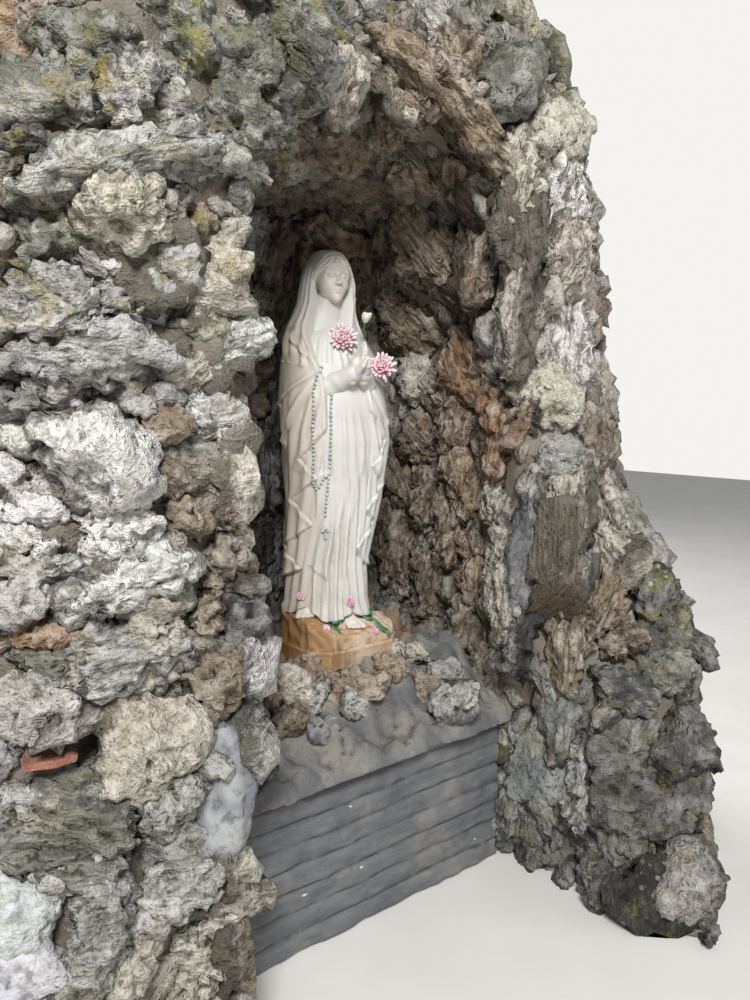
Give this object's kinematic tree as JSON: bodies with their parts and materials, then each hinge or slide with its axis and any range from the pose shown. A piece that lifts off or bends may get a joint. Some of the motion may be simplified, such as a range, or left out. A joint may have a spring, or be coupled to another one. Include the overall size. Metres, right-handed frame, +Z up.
{
  "type": "wayside grotto shrine",
  "caption": "Free-standing rock grotto of rough tufa with an arched niche, a coursed sill wall and a rock shelf that holds a painted cast figure in prayer.",
  "frame": {"origin": "on the ground, below the middle of the figure's base in the niche", "axes": "+Z up, the niche opens towards -Y, +X to the right seen from the front"},
  "size_m": [2.8448, 1.9077, 3.06],
  "materials": {
    "pale_tufa": "rough, pitted, weathered grey and white tufa with moss and lichen",
    "brown_tufa": "rough, striated brown tufa",
    "dark_tufa": "rough dark grey tufa with moss",
    "smooth_stone": "smooth blue-grey stone",
    "roof_tile": "matt fired clay",
    "sill_render": "coursed grey masonry under worn render",
    "shelf_mortar": "rough rock with smooth grey mortar on top",
    "painted_base": "light tan and golden brown paint, satin, on a plaster casting",
    "ivory_paint": "ivory paint with tan toning, satin, on a plaster casting",
    "silver_paint": "silver paint on raised beads",
    "pink_cloth": "pink and white cloth petals",
    "garland_paint": "green paint with pink buds"
  },
  "bodies": {
    "root": {"arch_crown": "brown_tufa", "arch_nose_stone": "pale_tufa", "back_wall_high": "brown_tufa", "back_wall_low": "brown_tufa", "base_garland": "garland_paint", "cap_left": "pale_tufa", "cap_middle": "pale_tufa", "cap_right": "brown_tufa", "diagonal_slab": "brown_tufa", "fan_stone": "pale_tufa", "feet": "ivory_paint", "figure_base": "painted_base", "flank_boulder": "dark_tufa", "foot_boulder": "dark_tufa", "gown": "ivory_paint", "hand_flowers": "pink_cloth", "hands": "ivory_paint", "head": "ivory_paint", "holed_log_stone": "pale_tufa", "left_haunch": "pale_tufa", "left_pier_foot": "pale_tufa", "left_pier_head": "pale_tufa", "left_pier_middle": "pale_tufa", "long_log_stone": "pale_tufa", "low_boulder": "pale_tufa", "mantle": "ivory_paint", "mossy_boulder": "dark_tufa", "niche_lintel_stone": "brown_tufa", "niche_vault": "brown_tufa", "pale_boulder": "pale_tufa", "pale_log_stone": "pale_tufa", "prayer_beads": "silver_paint", "right_haunch": "brown_tufa", "right_pier_foot": "brown_tufa", "right_pier_head": "brown_tufa", "right_pier_middle": "brown_tufa", "root_slab": "brown_tufa", "shelf_rock": "shelf_mortar", "sill_fill": "sill_render", "sill_wall": "sill_render", "slanting_slab": "brown_tufa", "sleeves": "ivory_paint", "smooth_jamb_stone": "smooth_stone", "striated_slab": "brown_tufa", "tile_sliver": "roof_tile"}
  },
  "joints": []
}
